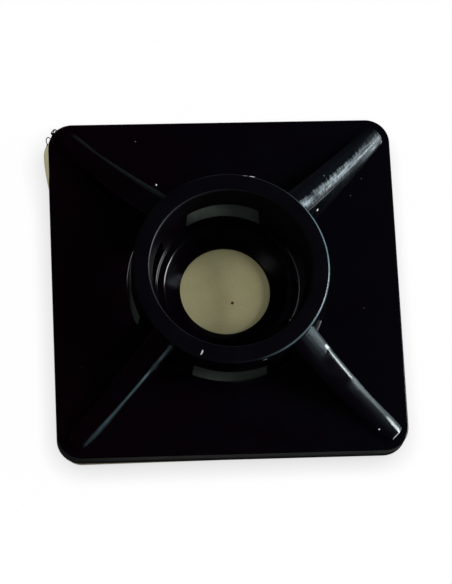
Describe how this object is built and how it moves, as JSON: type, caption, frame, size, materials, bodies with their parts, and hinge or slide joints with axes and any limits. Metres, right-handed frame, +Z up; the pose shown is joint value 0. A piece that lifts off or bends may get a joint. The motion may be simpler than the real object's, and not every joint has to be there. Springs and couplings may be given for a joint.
{
  "type": "cable tie mount",
  "caption": "Square self-adhesive cable tie mount: a raised round collar with tie passages crossing under it, sloping corner ribs, a countersunk screw hole and a foam pad.",
  "frame": {"origin": "the centre of the release liner's underside, on the axis of the screw hole", "axes": "+Z up, out of the surface that the mount is stuck to; +X and +Y along the sides of the square plate"},
  "size_m": [0.0202, 0.02, 0.0059],
  "materials": {
    "moulding": "injection-moulded black nylon, smooth and shiny, finely scuffed, with a few specks of dust",
    "foam": "cream closed-cell foam with a tacky face on both sides",
    "liner": "smooth pale siliconised paper"
  },
  "bodies": {
    "root": {"mount_base": "moulding", "foam_pad": "foam", "release_liner": "liner"}
  },
  "joints": []
}
